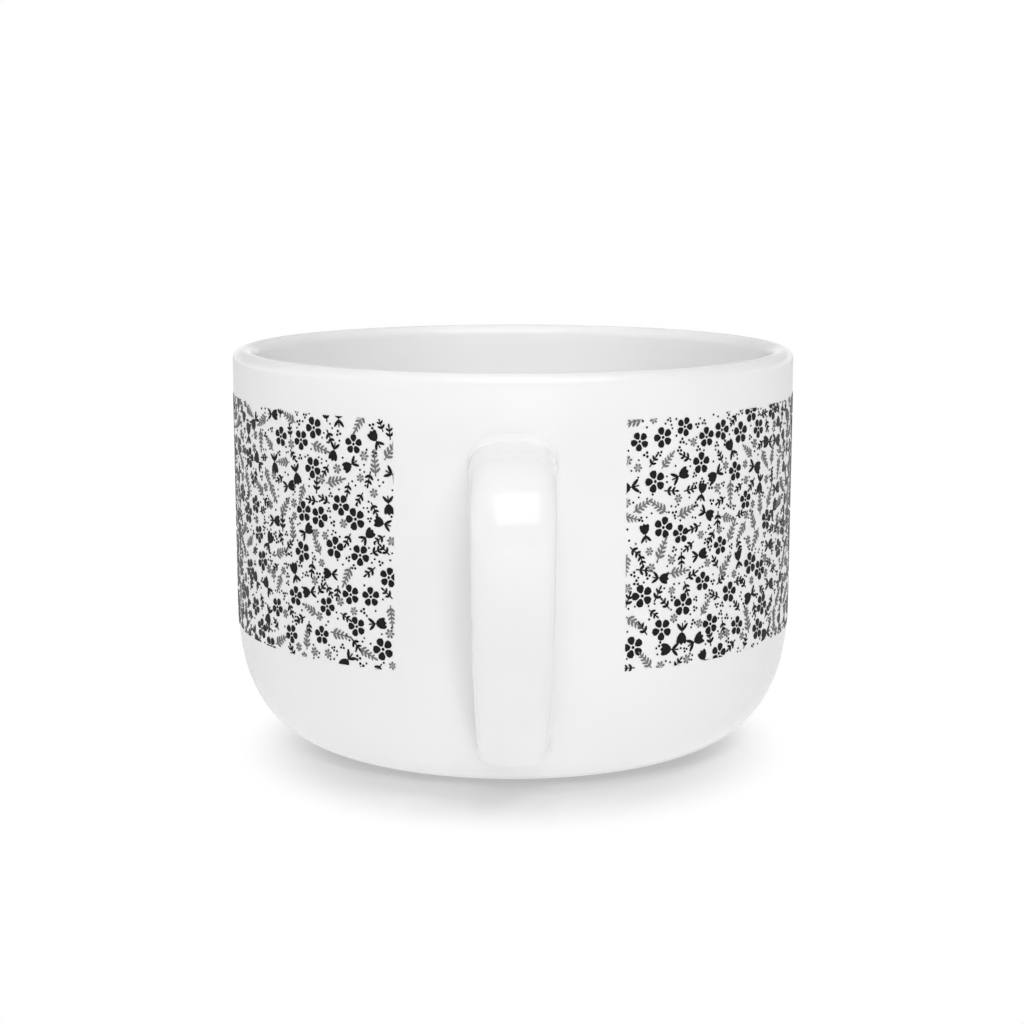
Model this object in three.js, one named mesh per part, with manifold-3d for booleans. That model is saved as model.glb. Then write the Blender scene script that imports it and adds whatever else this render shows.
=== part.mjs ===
// A wide stoneware latte mug: a cup with a full, rounded belly, a strap handle luted to it with two
// slip joints, and a printed wrap that leaves a bare bay at the handle.
// Millimetres, +Z up. The origin is on the cup's axis, on the plane that the foot stands on.
// The handle points towards -Y.

import * as THREE from 'three';
import { mergeVertices } from 'three/addons/utils/BufferGeometryUtils.js';
import Module from 'manifold-3d';

// Cup
const RIM_DIAMETER = 110;
const CUP_HEIGHT = 78;
const WALL = 4.2;
const WALL_DRAFT = 0.2; // how much less the radius is where the wall runs into the belly
const BELLY_WIDTH = 24.2; // from the wall in to the foot
const BELLY_HEIGHT = 29.4; // from the table up to the straight wall
const BELLY_FULLNESS = 2.55; // exponent of the belly's curve: 2 is an ellipse, more is fuller
const FLOOR = 6; // from the table up to the inside floor
const FOOT_WIDTH = 4.6; // unglazed ring that the cup stands on
const FOOT_RECESS = 0.8; // depth of the hollow inside the foot ring
const FOOT_BEVEL = 0.8; // run of the slope between the ring and the hollow

// Strap handle
const STRAP_WIDTH = 15.2; // at the upper arm
const STRAP_THICKNESS = 8.6; // at the upper arm
const TAIL_WIDTH = 12.9; // the strap tapers to this at the lower root
const TAIL_THICKNESS = 7.2;
const STRAP_SQUARENESS = 2.5; // exponent of the strap's section: 2 is an ellipse, more is squarer
const HANDLE_REACH = 27; // from the rim's outside to the middle of the strap at the grip
const ARM_BELOW_RIM = 15.8; // centre of the upper arm
const BEND_RADIUS = 10.5; // of the centre line, where the straight arm turns down to the grip
const BEND_FULLNESS = 0.58; // pull of the bend's curve as a share of its radius: 0.55 is round
const TAIL_HEIGHT = 10.8; // centre of the lower root above the table
const TAIL_SLOPE = 33; // degrees that the tail falls as it runs into the belly
const LOWER_DROP = 21; // pull down from the outermost point, towards the tail
const TAIL_RUN = 11; // pull of the centre line out of the lower root
const ROOT_SINK = 2; // how far the centre line starts inside the wall

// Slip joints between the strap and the cup
const SLIP_DEPTH = 2.4; // from the cup's face to the strap's end
const SLIP_FLARE = 1.15; // how far the slip spreads past the strap at the cup's face
const SLIP_CURVE = 2.5; // power of the slip's hollow: 1 is a cone, more is hollower
const SEAM = 0.2; // clearance between two pieces that meet

// Printed wrap
const PRINT_BELOW_RIM = 8.5;
const PRINT_HEIGHT = 45.4;
const PRINT_BAY = 42.4; // bare width at the handle, measured round the cup
const PRINT_FILM = 0.25;
const PRINT_CLEARANCE = 0.12;

// Facets
const TURN_STEPS = 72;
const BELLY_STEPS = 11;
const LIP_STEPS = 8;
const SECTION_STEPS = 26;
const SPAN_STEPS = 26;
const ROOT_STEPS = 15;
const ROOT_ZONE = 11; // length at each end of the strap that is cut into finer steps
const PROBE_STEP = 0.25; // spacing of the points that a distance from the cup is measured to

const WHITE_GLAZE = 0xf1f1f0;
const PRINT_GREY = 0xb4b4b2;

const rimRadius = RIM_DIAMETER / 2;
const bellyRadius = rimRadius - WALL_DRAFT;
const footRadius = bellyRadius - BELLY_WIDTH;
const lipRadius = WALL / 2;
const lipHeight = CUP_HEIGHT - lipRadius;

const wasm = await Module();
wasm.setup();

// A closed three.js geometry as a solid that can be cut.
function solidOf(geometry) {
  const bare = geometry.clone();
  bare.deleteAttribute('normal');
  bare.deleteAttribute('uv');
  const merged = mergeVertices(bare, 1e-4);
  const corners = merged.index.array;
  const triangles = [];
  for (let i = 0; i < corners.length; i += 3) {
    const [a, b, c] = corners.subarray(i, i + 3);
    if (a !== b && b !== c && c !== a) triangles.push(a, b, c);
  }
  const vertProperties = new Float32Array(merged.attributes.position.array);
  const triVerts = new Uint32Array(triangles);
  return new wasm.Manifold(new wasm.Mesh({ numProp: 3, vertProperties, triVerts }));
}

function geometryOf(solid) {
  const mesh = solid.getMesh();
  const geometry = new THREE.BufferGeometry();
  geometry.setAttribute('position', new THREE.BufferAttribute(mesh.vertProperties, 3));
  geometry.setIndex(new THREE.BufferAttribute(mesh.triVerts, 1));
  geometry.computeVertexNormals();
  return geometry;
}

// A profile of radius and height turned round the cup's axis.
function turned(profile) {
  const geometry = new THREE.LatheGeometry(profile, TURN_STEPS);
  geometry.rotateX(Math.PI / 2);
  return geometry;
}

// Heights along a belly's curve, spaced evenly by the angle of the curve, from its foot to its wall.
function bellyHeights(bottom, top) {
  const heights = [];
  for (let i = 0; i <= BELLY_STEPS; i++) {
    const angle = (Math.PI / 2) * (1 - i / BELLY_STEPS);
    heights.push(top - (top - bottom) * Math.sin(angle) ** (2 / BELLY_FULLNESS));
  }
  return heights;
}

// Share of a belly's width that is reached at a height: 0 at its bottom and 1 where the wall begins.
function bellyShare(height, bottom, top) {
  const drop = Math.min(1, Math.max(0, (top - height) / (top - bottom)));
  return (1 - drop ** BELLY_FULLNESS) ** (1 / BELLY_FULLNESS);
}

// The cup's outside at a height, moved out by an offset along the surface's normal.
function outside(height, offset = 0) {
  if (height >= BELLY_HEIGHT) {
    const rise = (height - BELLY_HEIGHT) / (lipHeight - BELLY_HEIGHT);
    return new THREE.Vector2(bellyRadius + WALL_DRAFT * rise + offset, height);
  }
  const share = bellyShare(height, 0, BELLY_HEIGHT);
  const drop = (BELLY_HEIGHT - height) / BELLY_HEIGHT;
  const normal = new THREE.Vector2(
    share ** (BELLY_FULLNESS - 1) / BELLY_WIDTH,
    -(drop ** (BELLY_FULLNESS - 1)) / BELLY_HEIGHT,
  ).normalize();
  const point = new THREE.Vector2(footRadius + BELLY_WIDTH * share, height);
  return point.addScaledVector(normal, offset);
}

// The cup: outside belly and wall, rounded lip, inside wall and belly, and a recessed foot.
function cupGeometry() {
  const footInner = footRadius - FOOT_WIDTH;
  const innerRadius = rimRadius - WALL;
  const innerFloorRadius = innerRadius - BELLY_WIDTH;
  const profile = [
    new THREE.Vector2(0, FOOT_RECESS),
    new THREE.Vector2(footInner - FOOT_BEVEL, FOOT_RECESS),
    new THREE.Vector2(footInner, 0),
  ];
  for (const height of bellyHeights(0, BELLY_HEIGHT)) profile.push(outside(height));
  for (let i = 0; i <= LIP_STEPS; i++) {
    const angle = (Math.PI * i) / LIP_STEPS;
    const across = rimRadius - lipRadius + lipRadius * Math.cos(angle);
    profile.push(new THREE.Vector2(across, lipHeight + lipRadius * Math.sin(angle)));
  }
  for (const height of bellyHeights(FLOOR, BELLY_HEIGHT).reverse()) {
    const share = bellyShare(height, FLOOR, BELLY_HEIGHT);
    profile.push(new THREE.Vector2(innerFloorRadius + BELLY_WIDTH * share, height));
  }
  profile.push(new THREE.Vector2(0, FLOOR));
  return turned(profile);
}

// Everything within an offset of the cup's outside, as a plug that cuts what is joined to the cup.
function cupPlug(offset) {
  const profile = [new THREE.Vector2(0, -offset)];
  for (const height of bellyHeights(0, BELLY_HEIGHT)) profile.push(outside(height, offset));
  profile.push(outside(lipHeight, offset));
  profile.push(new THREE.Vector2(0, lipHeight));
  return solidOf(turned(profile));
}

// The strap's centre line: straight out of the wall, round the bend and down in a sweep to the belly.
function handleLine() {
  const armHeight = CUP_HEIGHT - ARM_BELOW_RIM;
  const pull = BEND_FULLNESS * BEND_RADIUS;
  const slope = THREE.MathUtils.degToRad(TAIL_SLOPE);
  const arm = new THREE.Vector3(0, ROOT_SINK - outside(armHeight).x, armHeight);
  const grip = new THREE.Vector3(0, -rimRadius - HANDLE_REACH, armHeight - BEND_RADIUS);
  const bend = new THREE.Vector3(0, grip.y + BEND_RADIUS, armHeight);
  const inward = new THREE.Vector3(0, Math.cos(slope), -Math.sin(slope));
  const tail = new THREE.Vector3(0, -outside(TAIL_HEIGHT).x, TAIL_HEIGHT);
  const tailEnd = tail.clone().addScaledVector(inward, ROOT_SINK);
  const line = new THREE.CurvePath();
  line.add(new THREE.LineCurve3(arm, bend));
  line.add(new THREE.CubicBezierCurve3(
    bend,
    bend.clone().add(new THREE.Vector3(0, -pull, 0)),
    grip.clone().add(new THREE.Vector3(0, 0, pull)),
    grip,
  ));
  line.add(new THREE.CubicBezierCurve3(
    grip,
    grip.clone().add(new THREE.Vector3(0, 0, -LOWER_DROP)),
    tail.clone().addScaledVector(inward, -TAIL_RUN),
    tailEnd,
  ));
  return line;
}

// Distance of a point from the cup's outside, measured in the plane of radius and height.
function distanceFromCup(point) {
  const here = new THREE.Vector2(Math.hypot(point.x, point.y), point.z);
  const inside = here.x < outside(Math.max(0, here.y)).x;
  if (inside) return 0;
  let least = Infinity;
  for (let height = 0; height < lipHeight; height += PROBE_STEP) {
    least = Math.min(least, here.distanceTo(outside(height)));
  }
  return least;
}

// How far the slip stands out past the strap at a distance from the cup: a hollow fillet.
function slipSpread(distance) {
  const near = Math.max(0, 1 - distance / SLIP_DEPTH);
  return SLIP_FLARE * near ** SLIP_CURVE;
}

// One section of the strap at a share of the centre line's length, tapered and spread near the cup.
function strapSection(line, share) {
  const centre = line.getPoint(share);
  const along = line.getTangent(share);
  const outward = new THREE.Vector3(0, along.z, -along.y);
  const width = THREE.MathUtils.lerp(STRAP_WIDTH, TAIL_WIDTH, share);
  const thickness = THREE.MathUtils.lerp(STRAP_THICKNESS, TAIL_THICKNESS, share);
  const ring = [];
  for (let i = 0; i < SECTION_STEPS; i++) {
    const angle = (2 * Math.PI * i) / SECTION_STEPS;
    const cos = Math.cos(angle);
    const sin = Math.sin(angle);
    const wide = Math.abs((2 * cos) / width);
    const deep = Math.abs((2 * sin) / thickness);
    const reach = (wide ** STRAP_SQUARENESS + deep ** STRAP_SQUARENESS) ** (-1 / STRAP_SQUARENESS);
    const normal = new THREE.Vector2(
      (Math.sign(cos) * (reach * wide) ** (STRAP_SQUARENESS - 1)) / width,
      (Math.sign(sin) * (reach * deep) ** (STRAP_SQUARENESS - 1)) / thickness,
    ).normalize();
    const point = centre.clone().addScaledVector(outward, reach * sin);
    point.x += reach * cos;
    const spread = slipSpread(distanceFromCup(point));
    point.addScaledVector(outward, normal.y * spread);
    point.x += normal.x * spread;
    ring.push(point);
  }
  return ring;
}

// Shares of the centre line's length where the strap has a section, closer together at the roots.
function strapStations(length) {
  const shares = [];
  const zone = ROOT_ZONE / length;
  for (let i = 0; i < ROOT_STEPS; i++) shares.push((zone * i) / ROOT_STEPS);
  for (let i = 0; i < SPAN_STEPS; i++) shares.push(zone + ((1 - 2 * zone) * i) / SPAN_STEPS);
  for (let i = 0; i <= ROOT_STEPS; i++) shares.push(1 - zone + (zone * i) / ROOT_STEPS);
  return shares;
}

// A loft through closed rings of as many points, with a fan over each end.
function loft(rings) {
  const count = rings[0].length;
  const points = rings.flat();
  const triangles = [];
  for (let r = 0; r + 1 < rings.length; r++) {
    for (let i = 0; i < count; i++) {
      const a = r * count + i;
      const b = r * count + ((i + 1) % count);
      triangles.push(a, b, b + count, a, b + count, a + count);
    }
  }
  const last = (rings.length - 1) * count;
  for (let i = 1; i + 1 < count; i++) {
    triangles.push(0, i + 1, i);
    triangles.push(last, last + i, last + i + 1);
  }
  const geometry = new THREE.BufferGeometry().setFromPoints(points);
  geometry.setIndex(triangles);
  return solidOf(geometry);
}

// The printed wrap: a thin sleeve on the cup's outside with a bay left open at the handle.
function wrapGeometry() {
  const top = CUP_HEIGHT - PRINT_BELOW_RIM;
  const bottom = top - PRINT_HEIGHT;
  const curved = bellyHeights(0, BELLY_HEIGHT).filter((height) => height > bottom && height < top);
  const heights = [bottom, ...curved, top];
  const outer = heights.map((height) => outside(height, PRINT_CLEARANCE + PRINT_FILM));
  const inner = heights.map((height) => outside(height, PRINT_CLEARANCE)).reverse();
  const sleeve = solidOf(turned([...outer, ...inner, outer[0]]));
  const half = PRINT_BAY / RIM_DIAMETER;
  const reach = 2 * rimRadius;
  const wedge = new THREE.Shape();
  wedge.moveTo(0, 0);
  wedge.lineTo(-reach * Math.tan(half), -reach);
  wedge.lineTo(reach * Math.tan(half), -reach);
  wedge.closePath();
  const bay = new THREE.ExtrudeGeometry(wedge, { depth: 2 * CUP_HEIGHT, bevelEnabled: false });
  return geometryOf(sleeve.subtract(solidOf(bay)));
}

const group = new THREE.Group();

function addPiece(name, geometry, color, roughness) {
  const material = new THREE.MeshStandardMaterial({ color, roughness, metalness: 0 });
  const mesh = new THREE.Mesh(geometry, material);
  mesh.name = name;
  group.add(mesh);
}

const line = handleLine();
const stations = strapStations(line.getLength());
const rings = stations.map((share) => strapSection(line, share));
const rootRings = ROOT_STEPS + 1;
const seated = cupPlug(SEAM);
const slipFace = cupPlug(SLIP_DEPTH);
const strapEnd = cupPlug(SLIP_DEPTH + SEAM);
const upperRoot = loft(rings.slice(0, rootRings));
const lowerRoot = loft(rings.slice(-rootRings));

addPiece('cup_body', cupGeometry(), WHITE_GLAZE, 0.12);
addPiece('strap_handle', geometryOf(loft(rings).subtract(strapEnd)), WHITE_GLAZE, 0.12);
addPiece('upper_slip_joint', geometryOf(upperRoot.intersect(slipFace).subtract(seated)), WHITE_GLAZE, 0.14);
addPiece('lower_slip_joint', geometryOf(lowerRoot.intersect(slipFace).subtract(seated)), WHITE_GLAZE, 0.14);
addPiece('printed_wrap', wrapGeometry(), PRINT_GREY, 0.18);

export default group;
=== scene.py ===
"""A wide white latte mug with a strap handle and a black and grey printed wrap, dressed in glaze and ink.

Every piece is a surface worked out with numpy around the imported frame, in metres, +Z up.
A point on the cup's outside is named by its way round the cup, measured at the rim from the handle
towards +X, and by its height above the table.
"""
import math

import bpy
import numpy as np
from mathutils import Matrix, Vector


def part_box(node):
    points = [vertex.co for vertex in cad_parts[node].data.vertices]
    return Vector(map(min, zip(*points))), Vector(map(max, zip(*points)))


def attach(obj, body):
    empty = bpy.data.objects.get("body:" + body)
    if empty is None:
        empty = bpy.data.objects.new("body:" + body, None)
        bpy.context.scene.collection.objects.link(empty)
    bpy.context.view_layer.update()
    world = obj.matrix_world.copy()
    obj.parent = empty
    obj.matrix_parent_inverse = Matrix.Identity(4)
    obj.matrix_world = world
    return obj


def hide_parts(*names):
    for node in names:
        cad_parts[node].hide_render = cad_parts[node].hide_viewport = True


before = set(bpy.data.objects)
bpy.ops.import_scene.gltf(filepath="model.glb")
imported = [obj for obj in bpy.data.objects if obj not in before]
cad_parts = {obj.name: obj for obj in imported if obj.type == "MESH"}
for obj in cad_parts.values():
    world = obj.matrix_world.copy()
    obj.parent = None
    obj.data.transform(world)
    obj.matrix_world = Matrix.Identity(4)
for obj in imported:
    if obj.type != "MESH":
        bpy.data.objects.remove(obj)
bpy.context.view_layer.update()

# Sizes that the frame gives
CUP_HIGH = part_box("cup_body")[1]
WRAP_LOW, WRAP_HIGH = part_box("printed_wrap")
RIM_RADIUS = CUP_HIGH.x
CUP_HEIGHT = CUP_HIGH.z

# Cup
WALL = 0.0042
WALL_DRAFT = 0.0002
BELLY_WIDTH = 0.0242
BELLY_HEIGHT = 0.0294
BELLY_FULLNESS = 2.55
FLOOR_HEIGHT = 0.006
FOOT_WIDTH = 0.0046
FOOT_RECESS = 0.0008
FOOT_BEVEL = 0.0008
LIP_RADIUS = WALL / 2
LIP_HEIGHT = CUP_HEIGHT - LIP_RADIUS
FOOT_RADIUS = RIM_RADIUS - WALL_DRAFT - BELLY_WIDTH
FOOT_INNER = FOOT_RADIUS - FOOT_WIDTH
BARE_REACH = 0.0012
BARE_HEIGHT = 0.0004

# Strap handle
STRAP_WIDTH = 0.0152
STRAP_THICKNESS = 0.0086
TAIL_WIDTH = 0.0129
TAIL_THICKNESS = 0.0072
STRAP_SQUARENESS = 2.5
HANDLE_REACH = 0.0269
ARM_BELOW_RIM = 0.0158
BEND_RADIUS = 0.0105
BEND_FULLNESS = 0.58
TAIL_HEIGHT = 0.0108
TAIL_SLOPE = math.radians(33)
LOWER_DROP = 0.021
TAIL_RUN = 0.011
ROOT_SINK = 0.002
SLIP_DEPTH = 0.0024
SLIP_FLARE = 0.00115
SLIP_CURVE = 2.5
SLIP_SIDE = 0.35

# Printed wrap
PRINT_BAY = 0.0424
PRINT_START = PRINT_BAY / 2
PRINT_END = 2 * math.pi * RIM_RADIUS - PRINT_START
PRINT_CORNERS = np.array([[PRINT_START, WRAP_LOW.z], [PRINT_END, WRAP_HIGH.z]])
PRINT_SHIFT = -0.0006
PRINT_SEED = 20
INK_LOW = 0.00002
INK_HIGH = 0.00008
INK_LEAST_AREA = 1e-9
MOTIF_LEAST_SIZE = 0.9
MOTIF_SIZE_SPREAD = 0.2

# Glaze, clay and ink: colours, ranges of roughness, and the sizes of their grain
GLAZE_PALE = (0.900, 0.900, 0.900)
GLAZE_DENSE = (0.885, 0.885, 0.885)
GLAZE_TONE_SIZE = 0.018
GLAZE_ROUGHNESS = (0.03, 0.05)
GLAZE_GLOSS_SIZE = 0.009
GLAZE_IOR = 1.5
PEEL_SIZE = 0.0045
PEEL_DEPTH = 0.000012
CLAY_PALE = (0.70, 0.665, 0.61)
CLAY_DARK = (0.60, 0.565, 0.51)
CLAY_GRAIN = 0.0006
CLAY_ROUGHNESS = 0.85
BLACK_DEEP = (0.012, 0.012, 0.013)
BLACK_WORN = (0.020, 0.020, 0.021)
GREY_DEEP = (0.16, 0.16, 0.16)
GREY_WORN = (0.22, 0.22, 0.22)
INK_ROUGHNESS = (0.16, 0.24)
INK_GLOSS_SIZE = 0.004
INK_SHINE = 0.04
INK_LAY_SIZE = 0.0008
INK_LAY_DEPTH = 0.000004
NOISE_SPAN = (0.3, 0.7)

# Steps of the surfaces
TURN_STEPS = 384
RECESS_STEPS = 14
FOOT_STEPS = 10
BELLY_STEPS = 44
WALL_STEPS = 26
LIP_STEPS = 25
FLOOR_STEPS = 16
CURVE_STEPS = 400
SKIN_STEPS = 320
ROOT_ZONE = 0.013
ROOT_RINGS = 72
SPAN_RINGS = 110
SECTION_STEPS = 96
INK_CORNERS = 8

# Camera
CAMERA_PLACE = (-0.0002, -0.4521, 0.1184)
CAMERA_PITCH = math.radians(9.25)
CAMERA_LENS = 80.6
SENSOR_WIDTH = 36.0

# Floor: its glow for the camera and as a light, and the distances over which its glow and shadow fade
FLOOR_HALF = 6.0
FLOOR_COLOUR = (0.70, 0.70, 0.70, 1)
FLOOR_ROUGHNESS = 0.9
FLOOR_GLOW = 0.11
FLOOR_NEAR = 0.35
FLOOR_FAR = 0.30
GLOW_SPAN = (0.060, 0.105)
SHADOW_SPAN = (0.040, 0.064)
SHADOW_CENTRE = (0.0, -0.008, 0.0)
SHADOW_OVAL = (1.16, 1.0, 1.0)

# Sky as a light, and the spans of its direction's x, y or z over which each part comes in
SKY_TOP = 0.66
SKY_SIDE = 0.36
SIDE_SPAN = (0.3, 0.85)
SKY_RING = 1.02
RING_SPAN = (0.02, 0.26)
FRONT_SHARE = 0.3
FRONT_SPAN = (-0.40, -0.95)
SKY_LEFT = 0.64
LEFT_SPAN = (-0.60, -0.97)

# Lamps: a box that is only mirrored in the glaze, three keys and two fills that only light
HIGHLIGHT_PLACE = (0.107, -0.586, 0.668)
HIGHLIGHT_AIM = (0, -0.083, 0.055)
HIGHLIGHT_SIZE = (0.83, 0.68)
HIGHLIGHT_BRIGHTNESS = 1.75
KEY_AIM = (0, -0.055, 0.045)
KEY_SIZE = (0.20, 0.25)
FRONT_KEY_PLACE = (0.026, -0.792, 0.561)
FRONT_KEY = 11.5
SIDE_KEY_PLACE = (0.423, -0.352, 0.782)
SIDE_KEY = 7.0
RIGHT_KEY_PLACE = (0.128, -0.911, 0.293)
RIGHT_KEY_SIZE = (0.14, 0.30)
RIGHT_KEY = 6.5
INSIDE_FILL_PLACE = (-0.12, -0.49, 0.35)
INSIDE_FILL_AIM = (0.005, 0.052, 0.07)
INSIDE_FILL_CONE = math.radians(10)
INSIDE_FILL_SIZE = 0.03
INSIDE_FILL = 3.3
ARM_FILL_PLACE = (0, -0.16, 0.60)
ARM_FILL_AIM = (0, -0.070, 0.062)
ARM_FILL_CONE = math.radians(5)
ARM_FILL_SIZE = 0.02
ARM_FILL = 1.9


# Shapes of the cup

def belly_share(height, bottom, top):
    """Share of the belly's width at a height: a superellipse from 0 at its bottom to 1 at its top."""
    drop = np.clip((top - height) / (top - bottom), 0, 1)
    return (1 - drop ** BELLY_FULLNESS) ** (1 / BELLY_FULLNESS)


def outside(height):
    """Radius and outward normal (radial, upward) of the cup's outside at heights: a superelliptic belly,
    then a wall with a slight draft."""
    height = np.asarray(height, float)
    share = belly_share(height, 0, BELLY_HEIGHT)
    drop = np.clip((BELLY_HEIGHT - height) / BELLY_HEIGHT, 0, 1)
    rise = np.clip((height - BELLY_HEIGHT) / (LIP_HEIGHT - BELLY_HEIGHT), 0, 1)
    radius = FOOT_RADIUS + BELLY_WIDTH * share + WALL_DRAFT * rise
    radial = share ** (BELLY_FULLNESS - 1) / BELLY_WIDTH
    upward = -(drop ** (BELLY_FULLNESS - 1)) / BELLY_HEIGHT
    length = np.hypot(radial, upward)
    return radius, radial / length, upward / length


def belly_heights(bottom, top):
    """Heights of a belly's curve at even angles of the superellipse, from its foot to its wall."""
    angle = np.linspace(np.pi / 2, 0, BELLY_STEPS)
    return top - (top - bottom) * np.sin(angle) ** (2 / BELLY_FULLNESS)


def arc(centre, radius, start, end, steps):
    """Points of a circular arc in the plane of radius and height, between two angles in degrees."""
    angle = np.radians(np.linspace(start, end, steps))
    return np.stack([centre[0] + radius * np.cos(angle), centre[1] + radius * np.sin(angle)], 1)


def cup_profile():
    """The cup's section from the middle of its underside, round the foot, up the outside, over the
    lip and down the inside to the middle of its floor, as rows of radius and height."""
    hollow = np.linspace(0, FOOT_INNER - FOOT_BEVEL, RECESS_STEPS)
    recess = np.stack([hollow, np.full_like(hollow, FOOT_RECESS)], 1)
    ring = np.linspace(FOOT_INNER, FOOT_RADIUS, FOOT_STEPS)[:-1]
    foot = np.stack([ring, np.zeros_like(ring)], 1)
    heights = belly_heights(0, BELLY_HEIGHT)
    belly = np.stack([outside(heights)[0], heights], 1)
    rise = np.linspace(BELLY_HEIGHT, LIP_HEIGHT, WALL_STEPS)[1:-1]
    wall = np.stack([outside(rise)[0], rise], 1)
    lip = arc((RIM_RADIUS - LIP_RADIUS, LIP_HEIGHT), LIP_RADIUS, 0, 180, LIP_STEPS)
    inner_radius = RIM_RADIUS - WALL
    down = np.linspace(LIP_HEIGHT, BELLY_HEIGHT, WALL_STEPS)[1:-1]
    inner_wall = np.stack([np.full_like(down, inner_radius), down], 1)
    inner_heights = belly_heights(FLOOR_HEIGHT, BELLY_HEIGHT)[::-1]
    inner_share = belly_share(inner_heights, FLOOR_HEIGHT, BELLY_HEIGHT)
    inner_belly = np.stack([inner_radius - BELLY_WIDTH * (1 - inner_share), inner_heights], 1)
    across = np.linspace(inner_radius - BELLY_WIDTH, 0, FLOOR_STEPS)[1:]
    floor = np.stack([across, np.full_like(across, FLOOR_HEIGHT)], 1)
    return np.concatenate([recess, foot, belly, wall, lip, inner_wall, inner_belly, floor])


def cup_surface():
    """The cup's section turned round the axis: (radius sin a, -radius cos a, height) for angles a.
    Returns rings of points, and the middles of the underside and of the floor."""
    profile = cup_profile()
    angle = np.linspace(0, 2 * np.pi, TURN_STEPS, endpoint=False)
    ring = np.stack([np.sin(angle), -np.cos(angle)], 1)
    body = profile[1:-1]
    points = np.empty((len(body), TURN_STEPS, 3))
    points[..., :2] = body[:, None, :1] * ring[None]
    points[..., 2] = body[:, 1:]
    poles = np.array([[0, 0, profile[0, 1]], [0, 0, profile[-1, 1]]])
    return points, poles


# Shapes of the handle

def bezier(corners):
    """Points and directions of a cubic curve with four control points."""
    t = np.linspace(0, 1, CURVE_STEPS)[:, None]
    a, b, c, d = (np.asarray(p, float) for p in corners)
    points = (1 - t) ** 3 * a + 3 * (1 - t) ** 2 * t * b + 3 * (1 - t) * t ** 2 * c + t ** 3 * d
    along = (1 - t) ** 2 * (b - a) + 2 * (1 - t) * t * (c - b) + t ** 2 * (d - c)
    return points, along / np.linalg.norm(along, axis=1, keepdims=True)


def handle_line():
    """The strap's centre line in the plane of Y and Z: a straight arm, a cubic bend to the outermost
    point and a cubic sweep to the belly. Returns points, closer together at the roots, with a direction
    and a share of the length."""
    arm_height = CUP_HEIGHT - ARM_BELOW_RIM
    arm = np.array([ROOT_SINK - outside(arm_height)[0], arm_height])
    grip = np.array([-RIM_RADIUS - HANDLE_REACH, arm_height - BEND_RADIUS])
    bend = grip + BEND_RADIUS
    pull = BEND_FULLNESS * BEND_RADIUS
    inward = np.array([np.cos(TAIL_SLOPE), -np.sin(TAIL_SLOPE)])
    tail = np.array([-outside(TAIL_HEIGHT)[0], TAIL_HEIGHT])
    straight = bezier([arm, arm + (bend - arm) / 3, bend - (bend - arm) / 3, bend])
    upper = bezier([bend, bend + [-pull, 0], grip + [0, pull], grip])
    lower = bezier([grip, grip + [0, -LOWER_DROP], tail - TAIL_RUN * inward, tail + ROOT_SINK * inward])
    points = np.concatenate([straight[0], upper[0][1:], lower[0][1:]])
    along = np.concatenate([straight[1], upper[1][1:], lower[1][1:]])
    length = np.concatenate([[0], np.cumsum(np.linalg.norm(np.diff(points, axis=0), axis=1))])
    whole = length[-1]
    ways = np.concatenate([
        np.linspace(0, ROOT_ZONE, ROOT_RINGS, endpoint=False),
        np.linspace(ROOT_ZONE, whole - ROOT_ZONE, SPAN_RINGS, endpoint=False),
        np.linspace(whole - ROOT_ZONE, whole, ROOT_RINGS),
    ])
    line = np.stack([np.interp(ways, length, points[:, i]) for i in range(2)], 1)
    heading = np.stack([np.interp(ways, length, along[:, i]) for i in range(2)], 1)
    return line, heading / np.linalg.norm(heading, axis=1, keepdims=True), ways / whole


def distance_from_cup(points):
    """Least distance of points from the cup's outside, in the plane of radius and height; 0 inside it."""
    radius = np.hypot(points[..., 0], points[..., 1])
    height = points[..., 2]
    heights = np.linspace(0, LIP_HEIGHT, SKIN_STEPS)
    skin = outside(heights)[0]
    gap = np.hypot(radius[..., None] - skin, height[..., None] - heights).min(-1)
    return np.where(radius < outside(np.maximum(height, 0))[0], 0, gap)


def handle_surface():
    """The strap's section, a superellipse that tapers along the centre line, spread near the cup by
    a hollow fillet of slip, slimmer at the sides. Returns rings of points, and how far each is spread."""
    line, heading, share = handle_line()
    share = share[:, None]
    width = STRAP_WIDTH + (TAIL_WIDTH - STRAP_WIDTH) * share
    thickness = STRAP_THICKNESS + (TAIL_THICKNESS - STRAP_THICKNESS) * share
    angle = np.linspace(0, 2 * np.pi, SECTION_STEPS, endpoint=False)[None]
    cos, sin = np.cos(angle), np.sin(angle)
    reach = np.abs(2 * cos / width) ** STRAP_SQUARENESS + np.abs(2 * sin / thickness) ** STRAP_SQUARENESS
    reach = reach ** (-1 / STRAP_SQUARENESS)
    across, through = reach * cos, reach * sin
    side = np.sign(cos) * np.abs(2 * across / width) ** (STRAP_SQUARENESS - 1) / width
    face = np.sign(sin) * np.abs(2 * through / thickness) ** (STRAP_SQUARENESS - 1) / thickness
    size = np.hypot(side, face)
    outward = np.stack([heading[:, 1], -heading[:, 0]], 1)[:, None]
    points = np.empty((*across.shape, 3))
    points[..., 0] = across
    points[..., 1:] = line[:, None] + outward * through[..., None]
    near = np.clip(1 - distance_from_cup(points) / SLIP_DEPTH, 0, 1)
    flare = SLIP_FLARE * (SLIP_SIDE + (1 - SLIP_SIDE) * (face / size) ** 2)
    spread = flare * near ** SLIP_CURVE
    points[..., 0] += side / size * spread
    points[..., 1:] += outward * (face / size * spread)[..., None]
    return points, spread


# Meshes

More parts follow.
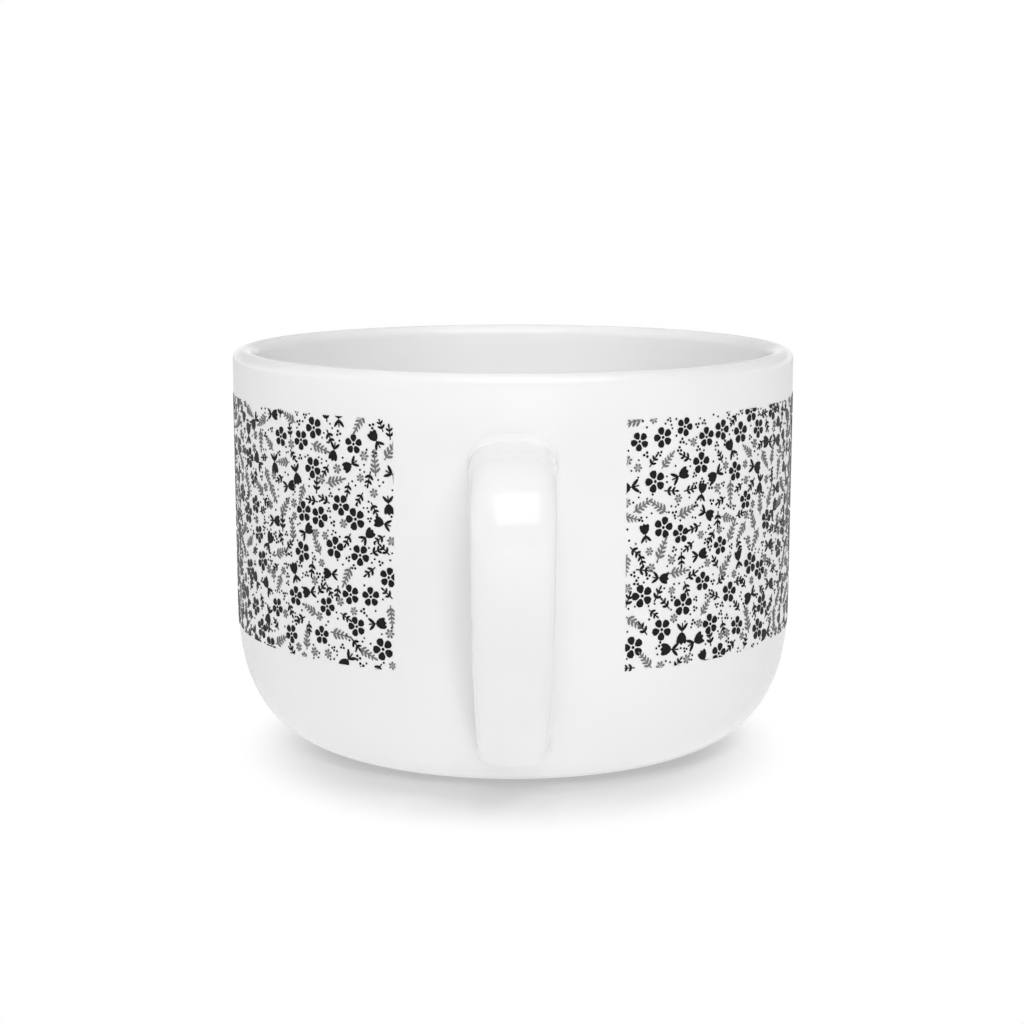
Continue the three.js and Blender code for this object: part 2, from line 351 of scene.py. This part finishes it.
def new_piece(name, verts, faces, material, normals=None):
    """A mesh piece that rides on the mug, with smooth faces and, if given, a normal for each vertex."""
    mesh = bpy.data.meshes.new(name)
    mesh.from_pydata(np.asarray(verts).reshape(-1, 3).tolist(), [], faces)
    mesh.polygons.foreach_set("use_smooth", np.ones(len(mesh.polygons), bool))
    if normals is not None:
        mesh.normals_split_custom_set_from_vertices(np.asarray(normals).reshape(-1, 3).tolist())
    mesh.materials.append(material)
    mesh.update()
    piece = bpy.data.objects.new(name, mesh)
    bpy.context.scene.collection.objects.link(piece)
    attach(piece, "root")
    return piece


def ring_faces(rings, steps):
    """Quads between rings of vertices that are numbered ring by ring, each ring closed on itself."""
    ring = np.arange(rings - 1)[:, None] * steps
    step = np.arange(steps)[None]
    ahead = (step + 1) % steps
    corners = [ring + step, ring + ahead, ring + steps + ahead, ring + steps + step]
    return np.stack(corners, -1).reshape(-1, 4).tolist()


def ring_normals(points):
    """Normals of rings of points that close on themselves: along the rings crossed with across them."""
    round_ring = np.roll(points, -1, 1) - np.roll(points, 1, 1)
    along = np.gradient(points, axis=0)
    normal = np.cross(round_ring, along)
    return normal / np.linalg.norm(normal, axis=-1, keepdims=True)


def tube_piece(name, points, normals, material):
    """Rings of points as a closed tube, with a flat cap of its own vertices on each end."""
    rings, steps = points.shape[:2]
    ends = np.stack([points[0], points[-1]])
    facing = np.stack([points[0] - points[1], points[-1] - points[-2]]).mean(1, keepdims=True)
    facing = facing / np.linalg.norm(facing, axis=-1, keepdims=True)
    verts = np.concatenate([points.reshape(-1, 3), ends.reshape(-1, 3)])
    sides = normals.reshape(-1, 3)
    caps = np.broadcast_to(facing, ends.shape).reshape(-1, 3)
    first = rings * steps + np.arange(steps)
    faces = ring_faces(rings, steps) + [first[::-1].tolist(), (first + steps).tolist()]
    return new_piece(name, verts, faces, material, np.concatenate([sides, caps]))


# Motifs of the print, each a stack of outlines with eight corners, in metres on the unrolled wrap

CORNER = np.linspace(0, 2 * np.pi, INK_CORNERS, endpoint=False)


def leaf(length, width):
    """A leaf from the origin along +x: half widths follow a power of a sine, so both ends are pointed."""
    point = 1.25
    x = length * (1 - np.cos(CORNER)) / 2
    y = width / 2 * np.sign(np.sin(CORNER)) * np.abs(np.sin(CORNER)) ** point
    return np.stack([x, y], 1)


def petal(length, width):
    """A petal from the origin along +x: an ellipse whose half width swells evenly towards its outer end."""
    swell = 0.55
    x = length * (1 - np.cos(CORNER)) / 2
    y = width / 2 * np.sin(CORNER) * (swell + swell * x / length)
    return np.stack([x, y], 1)


def dot(radius):
    """A round dot."""
    return radius * np.stack([np.cos(CORNER), np.sin(CORNER)], 1)


def stem(length, width):
    """A thin straight stem along +x."""
    half = INK_CORNERS // 2
    x = np.concatenate([np.linspace(0, length, half), np.linspace(length, 0, half)])
    y = np.repeat([-width / 2, width / 2], half)
    return np.stack([x, y], 1)


def turned_by(shape, angle, move=(0, 0)):
    """A shape turned about the origin, then moved."""
    cos, sin = math.cos(angle), math.sin(angle)
    return shape @ np.array([[cos, sin], [-sin, cos]]) + np.asarray(move)


def blossom(petals, length, width, hole):
    """Petals in a ring that leaves a hole, with a dot in it."""
    dot_share = 0.62
    turns = 2 * np.pi * np.arange(petals) / petals
    ring = [turned_by(petal(length, width) + [hole, 0], turn) for turn in turns]
    return np.stack(ring + [dot(hole * dot_share)])


def sprig(length, pairs, leaf_length, leaf_width):
    """A stem with pairs of leaves that grow smaller along it, and one at its end."""
    stem_width, lean, shrink = 0.00022, 0.85, 0.13
    first, spare = 0.7, 0.35
    end_length, end_width, end_place = 0.85, 0.8, 0.97
    shapes = [stem(length, stem_width)]
    for i in range(pairs):
        at = (length * (i + first) / (pairs + spare), 0)
        size = 1 - shrink * i
        for turn in (lean, -lean):
            shapes.append(turned_by(leaf(leaf_length * size, leaf_width * size), turn, at))
    shapes.append(leaf(leaf_length * end_length, leaf_width * end_width) + [length * end_place, 0])
    return np.stack(shapes) - [length / 2, 0]


def bud(height):
    """A closed bud of three petals on a short stem with two leaves, in shares of its height."""
    petal_length, petal_width, petal_lean = height * 0.62, height * 0.3, 0.42
    stem_length, stem_width = height * 0.45, 0.00024
    leaf_length, leaf_width, leaf_lean, leaf_drop = height * 0.5, height * 0.17, 2.45, height * 0.06
    shapes = [turned_by(leaf(petal_length, petal_width), turn) for turn in (petal_lean, 0, -petal_lean)]
    shapes.append(turned_by(stem(stem_length, stem_width), np.pi))
    for turn in (leaf_lean, -leaf_lean):
        shapes.append(turned_by(leaf(leaf_length, leaf_width), turn, (-leaf_drop, 0)))
    return np.stack(shapes)


def berries(radius, spread):
    """Three berries in a close group."""
    turns = 2 * np.pi * np.arange(3) / 3
    return np.stack([dot(radius) + spread * np.array([np.cos(t), np.sin(t)]) for t in turns])


def placed(motif, places, turns, sizes):
    """Copies of a motif's outlines at places on the unrolled wrap, each turned and sized."""
    cos, sin = np.cos(turns), np.sin(turns)
    spin = np.stack([np.stack([cos, sin], -1), np.stack([-sin, cos], -1)], -2) * sizes[:, None, None]
    shapes = np.einsum("kci,mij->mkcj", motif, spin) + places[:, None, None]
    return shapes.reshape(-1, INK_CORNERS, 2)


def signed_area(shapes):
    """Area of each outline, positive where its corners run anticlockwise."""
    ahead = np.roll(shapes, -1, 1)
    return (shapes[..., 0] * ahead[..., 1] - shapes[..., 1] * ahead[..., 0]).sum(1) / 2


def trimmed(shapes):
    """Outlines cut at the wrap's straight edges, without those that lie outside it."""
    low, high = PRINT_CORNERS
    cut = np.clip(shapes, low, high)
    return cut[np.abs(signed_area(cut)) > INK_LEAST_AREA]


def scattered(random, reach, tries, taken):
    """Rows of place and reach on the wrap, thrown at random and kept where their circles are clear."""
    low, high = PRINT_CORNERS
    for throw in low + (high - low) * random.random((tries, 2)):
        if np.all(np.hypot(*(taken[:, :2] - throw).T) > taken[:, 2] + reach):
            taken = np.vstack([taken, [*throw, reach]])
    return taken


def on_cup(flat, offset):
    """Points and normals on the cup's outside for points of the unrolled wrap, raised by an offset."""
    turn = (flat[..., 0] + PRINT_SHIFT) / RIM_RADIUS
    radius, radial, upward = outside(flat[..., 1])
    normal = np.stack([radial * np.sin(turn), -radial * np.cos(turn), upward], -1)
    point = np.stack([radius * np.sin(turn), -radius * np.cos(turn), flat[..., 1]], -1)
    return point + offset * normal, normal


def ink_piece(name, shapes, material):
    """Outlines as thin closed plates of ink on the cup: a top, an underside and a wall of quads each."""
    shapes = np.where((signed_area(shapes) > 0)[:, None, None], shapes, shapes[:, ::-1])
    top, normal = on_cup(shapes, INK_HIGH)
    under, _ = on_cup(shapes, INK_LOW)
    first = 2 * INK_CORNERS * np.arange(len(shapes))[:, None]
    corner = np.arange(INK_CORNERS)
    following = (corner + 1) % INK_CORNERS
    tops = first + corner
    unders = (first + INK_CORNERS + corner)[:, ::-1]
    walls = np.stack([first + corner, first + INK_CORNERS + corner,
                      first + INK_CORNERS + following, first + following], -1).reshape(-1, 4)
    verts = np.stack([top, under], 1)
    normals = np.stack([normal, normal], 1)
    faces = tops.tolist() + unders.tolist() + walls.tolist()
    return new_piece(name, verts, faces, material, normals)


# Materials

def new_material(name):
    """An empty node material with its Principled shader and Object coordinates."""
    material = bpy.data.materials.new(name)
    material.use_nodes = True
    tree = material.node_tree
    shader = tree.nodes["Principled BSDF"]
    place = tree.nodes.new("ShaderNodeTexCoord").outputs["Object"]
    return material, tree, shader, place


def noise(tree, place, size, detail=2.0, roughness=0.5):
    """Noise with features of about a size in metres."""
    node = tree.nodes.new("ShaderNodeTexNoise")
    node.inputs["Scale"].default_value = 1 / size
    node.inputs["Detail"].default_value = detail
    node.inputs["Roughness"].default_value = roughness
    tree.links.new(place, node.inputs["Vector"])
    return node.outputs["Fac"]


def map_range(tree, value, span, low, high, interpolation="SMOOTHSTEP"):
    """A number that runs from low to high, and no further, as a value runs over a span."""
    node = tree.nodes.new("ShaderNodeMapRange")
    node.interpolation_type = interpolation
    for key, number in (("From Min", span[0]), ("From Max", span[1]), ("To Min", low), ("To Max", high)):
        node.inputs[key].default_value = number
    tree.links.new(value, node.inputs["Value"])
    return node.outputs["Result"]


def between(tree, factor, low=0.0, high=1.0):
    """A number that runs evenly from low to high over the usual span of a noise."""
    return map_range(tree, factor, NOISE_SPAN, low, high, "LINEAR")


def set_or_link(tree, socket, value):
    """Give a socket a plain value, or link it to another socket."""
    if isinstance(value, bpy.types.NodeSocket):
        tree.links.new(value, socket)
    else:
        socket.default_value = value


def blended(tree, factor, first, second):
    """A number between two numbers, each plain or a socket."""
    node = tree.nodes.new("ShaderNodeMix")
    tree.links.new(factor, node.inputs["Factor"])
    set_or_link(tree, node.inputs["A"], first)
    set_or_link(tree, node.inputs["B"], second)
    return node.outputs["Result"]


def worked_out(tree, operation, *numbers):
    """The result of an operation on the numbers of sockets."""
    node = tree.nodes.new("ShaderNodeMath")
    node.operation = operation
    for number, socket in zip(numbers, node.inputs):
        tree.links.new(number, socket)
    return node.outputs[0]


def mixed(tree, factor, first, second):
    """A colour between two colours, each a tuple or a socket."""
    node = tree.nodes.new("ShaderNodeMix")
    node.data_type = "RGBA"
    tree.links.new(factor, node.inputs["Factor"])
    for key, colour in (("A", first), ("B", second)):
        socket = [s for s in node.inputs if s.name == key and s.type == "RGBA"][0]
        set_or_link(tree, socket, (*colour, 1) if isinstance(colour, tuple) else colour)
    return [s for s in node.outputs if s.type == "RGBA"][0]


def bumped(tree, height, depth, shader):
    """A bump of a depth in metres on the shader's normal."""
    node = tree.nodes.new("ShaderNodeBump")
    node.inputs["Strength"].default_value = 1.0
    node.inputs["Distance"].default_value = depth
    tree.links.new(height, node.inputs["Height"])
    tree.links.new(node.outputs["Normal"], shader.inputs["Normal"])


def glaze_material(name):
    """Glossy fired glaze: a slight drift of tone, a slight drift of gloss and a soft orange-peel skin.
    Returns the material with the parts that another coat may build on."""
    material, tree, shader, place = new_material(name)
    tone = mixed(tree, between(tree, noise(tree, place, GLAZE_TONE_SIZE)), GLAZE_PALE, GLAZE_DENSE)
    tree.links.new(tone, shader.inputs["Base Color"])
    gloss = between(tree, noise(tree, place, GLAZE_GLOSS_SIZE), *GLAZE_ROUGHNESS)
    tree.links.new(gloss, shader.inputs["Roughness"])
    shader.inputs["IOR"].default_value = GLAZE_IOR
    bumped(tree, noise(tree, place, PEEL_SIZE, detail=1.0), PEEL_DEPTH, shader)
    return material, tree, shader, place, tone, gloss


def white_glaze():
    """White glaze all over."""
    return glaze_material("white_glaze")[0]


def footed_glaze():
    """White glaze that gives way to bare, grainy clay where the piece's own bare value is 1."""
    material, tree, shader, place, tone, gloss = glaze_material("white_glaze_bare_foot")
    node = tree.nodes.new("ShaderNodeAttribute")
    node.attribute_name = "bare"
    bare = node.outputs["Fac"]
    clay = mixed(tree, between(tree, noise(tree, place, CLAY_GRAIN, detail=3.0)), CLAY_PALE, CLAY_DARK)
    tree.links.new(mixed(tree, bare, tone, clay), shader.inputs["Base Color"])
    tree.links.new(blended(tree, bare, gloss, CLAY_ROUGHNESS), shader.inputs["Roughness"])
    return material


def ink_material(name, deep, worn):
    """Printed ink with a soft, low gloss: a fine uneven lay of colour."""
    material, tree, shader, place = new_material(name)
    lay = noise(tree, place, INK_LAY_SIZE, detail=3.0, roughness=0.65)
    tree.links.new(mixed(tree, between(tree, lay), deep, worn), shader.inputs["Base Color"])
    gloss = between(tree, noise(tree, place, INK_GLOSS_SIZE), *INK_ROUGHNESS)
    tree.links.new(gloss, shader.inputs["Roughness"])
    shader.inputs["Specular IOR Level"].default_value = INK_SHINE
    bumped(tree, lay, INK_LAY_DEPTH, shader)
    return material


# Pieces

def add_cup():
    """The cup, with a vertex value of 1 on the bare foot ring that fades into the glaze."""
    points, poles = cup_surface()
    rings, steps = points.shape[:2]
    verts = np.concatenate([points.reshape(-1, 3), poles])
    under, floor = rings * steps, rings * steps + 1
    ring = np.arange(steps)
    ahead = (ring + 1) % steps
    last = (rings - 1) * steps
    fans = np.concatenate([
        np.stack([np.full(steps, under), ahead, ring], 1),
        np.stack([np.full(steps, floor), last + ring, last + ahead], 1),
    ])
    faces = ring_faces(rings, steps) + fans.tolist()
    cup = new_piece("cup", verts, faces, footed_glaze())
    radius, height = np.hypot(verts[:, 0], verts[:, 1]), verts[:, 2]
    on_foot = (radius > FOOT_INNER - FOOT_BEVEL / 2) & (radius < FOOT_RADIUS + BARE_REACH)
    bare = cup.data.attributes.new("bare", "FLOAT", "POINT")
    bare.data.foreach_set("value", (on_foot & (height < BARE_HEIGHT)).astype(np.float32))
    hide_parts("cup_body")


def add_handle():
    """The strap and its two slip joints, cut from one surface so that their faces run on."""
    points, spread = handle_surface()
    normals = ring_normals(points)
    plain = np.flatnonzero(spread.max(1) <= 0)
    top, bottom = plain[0], plain[-1]
    glaze = white_glaze()
    stretches = (
        ("upper_slip", "upper_slip_joint", slice(0, top + 1)),
        ("strap", "strap_handle", slice(top, bottom + 1)),
        ("lower_slip", "lower_slip_joint", slice(bottom, None)),
    )
    for name, node, rings in stretches:
        piece = tube_piece(name, points[rings], normals[rings], glaze)
        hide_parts(node)


def add_print():
    """A tossed print of blossoms, buds, ferns, twigs, daisies, berries and dots, each kept clear of the
    others by the circle that it reaches. A layer has a name, an ink, a motif, its reach and its throws."""
    random = np.random.default_rng(PRINT_SEED)
    black = ink_material("black_ink", BLACK_DEEP, BLACK_WORN)
    grey = ink_material("grey_ink", GREY_DEEP, GREY_WORN)
    layers = (
        ("blossom_print", black, blossom(petals=5, length=0.0015, width=0.0016, hole=0.00045), 0.0020, 300),
        ("bud_print", black, bud(height=0.0036), 0.0017, 800),
        ("fern_print", grey,
         sprig(length=0.0036, pairs=4, leaf_length=0.0013, leaf_width=0.0005), 0.0015, 1800),
        ("twig_print", black,
         sprig(length=0.0022, pairs=2, leaf_length=0.0011, leaf_width=0.0005), 0.0010, 3400),
        ("daisy_print", grey, blossom(petals=6, length=0.00065, width=0.0005, hole=0.00022), 0.0008, 4400),
        ("berry_print", black, berries(radius=0.00024, spread=0.00038), 0.0006, 5000),
        ("dot_print", black, dot(radius=0.0002)[None], 0.0003, 7000),
    )
    taken = np.empty((0, 3))
    for name, ink, motif, reach, tries in layers:
        before = len(taken)
        taken = scattered(random, reach, tries, taken)
        places = taken[before:, :2]
        turns = 2 * np.pi * random.random(len(places))
        sizes = MOTIF_LEAST_SIZE + MOTIF_SIZE_SPREAD * random.random(len(places))
        piece = ink_piece(name, trimmed(placed(motif, places, turns, sizes)), ink)
        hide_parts("printed_wrap")


# Stage, light and camera

def add_stage():
    """A matt white floor that keeps the mug's shadow and, for the camera, runs out to plain white.
    As a light, it glows a little more near the mug than far from it."""
    mesh = bpy.data.meshes.new("floor")
    corners = [(FLOOR_HALF * x, FLOOR_HALF * y, 0) for x, y in ((-1, -1), (1, -1), (1, 1), (-1, 1))]
    mesh.from_pydata(corners, [], [(0, 1, 2, 3)])
    floor = bpy.data.objects.new("floor", mesh)
    bpy.context.scene.collection.objects.link(floor)
    material, tree, shader, place = new_material("white_floor")
    shader.inputs["Base Color"].default_value = FLOOR_COLOUR
    shader.inputs["Roughness"].default_value = FLOOR_ROUGHNESS
    shader.inputs["Specular IOR Level"].default_value = 0.0
    shader.inputs["Emission Color"].default_value = (1, 1, 1, 1)
    camera_ray = tree.nodes.new("ShaderNodeLightPath").outputs["Is Camera Ray"]
    oval = tree.nodes.new("ShaderNodeVectorMath")
    oval.operation = "MULTIPLY"
    tree.links.new(place, oval.inputs[0])
    oval.inputs[1].default_value = SHADOW_OVAL
    distance = tree.nodes.new("ShaderNodeVectorMath")
    distance.operation = "DISTANCE"
    tree.links.new(oval.outputs[0], distance.inputs[0])
    distance.inputs[1].default_value = SHADOW_CENTRE
    far = distance.outputs["Value"]
    bounce = map_range(tree, far, GLOW_SPAN, FLOOR_NEAR, FLOOR_FAR)
    tree.links.new(blended(tree, camera_ray, bounce, FLOOR_GLOW), shader.inputs["Emission Strength"])
    away = worked_out(tree, "MULTIPLY", map_range(tree, far, SHADOW_SPAN, 0.0, 1.0), camera_ray)
    white = tree.nodes.new("ShaderNodeEmission")
    surface = tree.nodes.new("ShaderNodeMixShader")
    for socket, source in zip(surface.inputs, (away, shader.outputs[0], white.outputs[0])):
        tree.links.new(source, socket)
    tree.links.new(surface.outputs[0], tree.nodes["Material Output"].inputs["Surface"])
    mesh.materials.append(material)


def add_world():
    """A pale studio: plain white for the camera. As a light it is a dome that is dim at the sides, above
    a bright low ring; both are dimmer in front and brighter far to the left."""
    world = bpy.data.worlds.new("studio")
    bpy.context.scene.world = world
    world.use_nodes = True
    tree = world.node_tree
    back = tree.nodes["Background"]
    back.inputs["Color"].default_value = (1, 1, 1, 1)
    direction = tree.nodes.new("ShaderNodeSeparateXYZ")
    tree.links.new(tree.nodes.new("ShaderNodeTexCoord").outputs["Generated"], direction.inputs[0])
    x, y, z = direction.outputs
    sideways = map_range(tree, worked_out(tree, "ABSOLUTE", x), SIDE_SPAN, 0.0, 1.0)
    dome = blended(tree, sideways, SKY_TOP, SKY_SIDE)
    ringed = blended(tree, map_range(tree, z, RING_SPAN, 1.0, 0.0), dome, SKY_RING)
    dimmed = worked_out(tree, "MULTIPLY", ringed, map_range(tree, y, FRONT_SPAN, 1.0, FRONT_SHARE))
    lit = worked_out(tree, "ADD", dimmed, map_range(tree, x, LEFT_SPAN, 0.0, SKY_LEFT))
    camera_ray = tree.nodes.new("ShaderNodeLightPath").outputs["Is Camera Ray"]
    tree.links.new(blended(tree, camera_ray, lit, 1.0), back.inputs["Strength"])


def add_lamp(name, kind, place, aim):
    """A lamp of a kind at a place that faces a point. Returns its data and its object."""
    lamp = bpy.data.lights.new(name, kind)
    light = bpy.data.objects.new(name, lamp)
    bpy.context.scene.collection.objects.link(light)
    light.location = place
    light.rotation_euler = (Vector(aim) - Vector(place)).to_track_quat("-Z", "Y").to_euler()
    return lamp, light


def add_softbox(name, place, aim, size, brightness, mirrored=False):
    """A rectangular area lamp, as bright all over as a surface of that brightness. A mirrored one is
    only seen as a highlight in the glaze; any other only lights."""
    lamp, light = add_lamp(name, "AREA", place, aim)
    width, depth = size
    lamp.shape = "RECTANGLE"
    lamp.size, lamp.size_y = width, depth
    lamp.energy = brightness * math.pi * width * depth
    light.visible_glossy = mirrored
    light.visible_diffuse = not mirrored


def add_spot(name, place, aim, cone, size, power):
    """A soft spot lamp of a size, with a cone that fades to its edge. It leaves no highlight of its own
    in the glaze."""
    lamp, light = add_lamp(name, "SPOT", place, aim)
    lamp.spot_size, lamp.spot_blend = cone, 1.0
    lamp.shadow_soft_size = size
    lamp.energy = power
    light.visible_glossy = False


def add_lamps():
    """The highlight on the strap's bend, the keys in front and at the right, and the fills inside the cup
    and on the arm."""
    add_softbox("front_softbox", HIGHLIGHT_PLACE, HIGHLIGHT_AIM, HIGHLIGHT_SIZE, HIGHLIGHT_BRIGHTNESS, True)
    add_softbox("front_key", FRONT_KEY_PLACE, KEY_AIM, KEY_SIZE, FRONT_KEY)
    add_softbox("side_key", SIDE_KEY_PLACE, KEY_AIM, KEY_SIZE, SIDE_KEY)
    add_softbox("right_key", RIGHT_KEY_PLACE, KEY_AIM, RIGHT_KEY_SIZE, RIGHT_KEY)
    add_spot("inside_fill", INSIDE_FILL_PLACE, INSIDE_FILL_AIM, INSIDE_FILL_CONE, INSIDE_FILL_SIZE,
             INSIDE_FILL)
    add_spot("arm_fill", ARM_FILL_PLACE, ARM_FILL_AIM, ARM_FILL_CONE, ARM_FILL_SIZE, ARM_FILL)


def add_camera():
    """The camera on the handle's side, a little above the rim, looking down at the mug."""
    data = bpy.data.cameras.new("camera")
    data.lens = CAMERA_LENS
    data.sensor_width = SENSOR_WIDTH
    camera = bpy.data.objects.new("camera", data)
    bpy.context.scene.collection.objects.link(camera)
    camera.location = CAMERA_PLACE
    camera.rotation_euler = (math.pi / 2 - CAMERA_PITCH, 0, 0)
    bpy.context.scene.camera = camera


add_camera()
add_stage()
add_world()
add_lamps()
add_cup()
add_handle()
add_print()

bpy.context.scene.view_settings.view_transform = "Standard"
